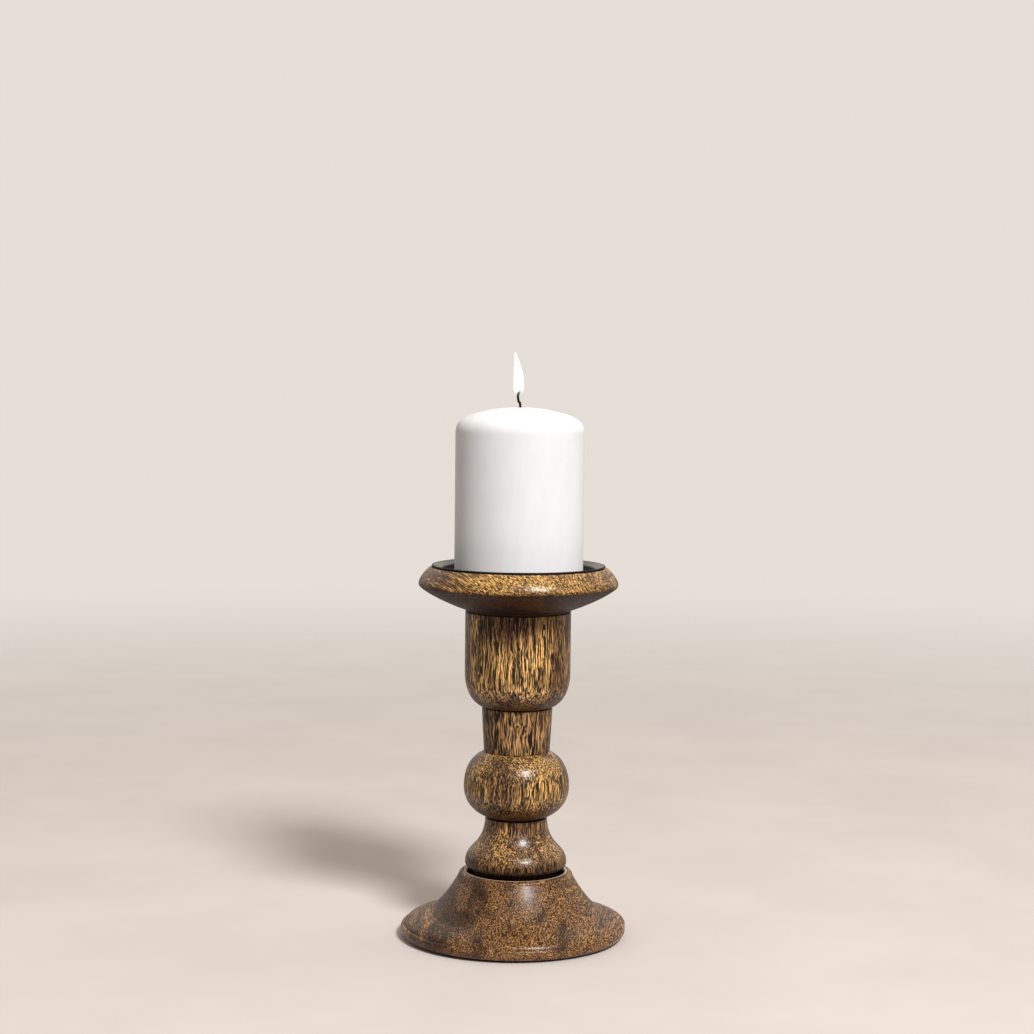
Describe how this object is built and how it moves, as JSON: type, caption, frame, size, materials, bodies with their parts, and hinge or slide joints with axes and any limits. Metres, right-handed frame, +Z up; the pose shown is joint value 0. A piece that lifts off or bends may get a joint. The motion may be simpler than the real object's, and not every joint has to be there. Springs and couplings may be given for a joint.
{
  "type": "candlestick",
  "caption": "Turned wooden candlestick on a wide foot, with a black metal drip pan and a pricket that holds a lit white pillar candle.",
  "frame": {"origin": "on the table, on the turning axis: the middle of the felt's underside", "axes": "+Z up along the turning axis, -Y to the front, +X to the right"},
  "size_m": [0.1197, 0.1194, 0.3107],
  "materials": {
    "felt": "dense dark wool felt",
    "foot_wood": "stained and lacquered, semi-gloss",
    "bell_wood": "stained and lacquered, semi-gloss",
    "ball_wood": "stained and lacquered, semi-gloss",
    "neck_wood": "stained and lacquered, semi-gloss",
    "barrel_wood": "stained and lacquered, semi-gloss",
    "dish_wood": "stained and lacquered, semi-gloss",
    "black_metal": "black enamel, satin",
    "steel": "bright zinc plate",
    "wax": "matt white paraffin wax",
    "charred_wick": "charred cotton braid",
    "flame": "glowing gas"
  },
  "bodies": {
    "candlestick": {"base_felt": "felt", "foot": "foot_wood", "bell": "bell_wood", "ball": "ball_wood", "neck": "neck_wood", "barrel": "barrel_wood", "dish": "dish_wood", "drip_pan": "black_metal", "pricket": "steel", "tie_rod": "steel", "rod_washer": "steel", "rod_nut": "steel"},
    "candle": {"candle_wax": "wax", "wick": "charred_wick", "flame": "flame"}
  },
  "joints": [
    {"name": "candle_lift", "type": "slide", "parent": "candlestick", "child": "candle", "axis": [0, 0, 1], "range_m": [0, 0.08]}
  ]
}
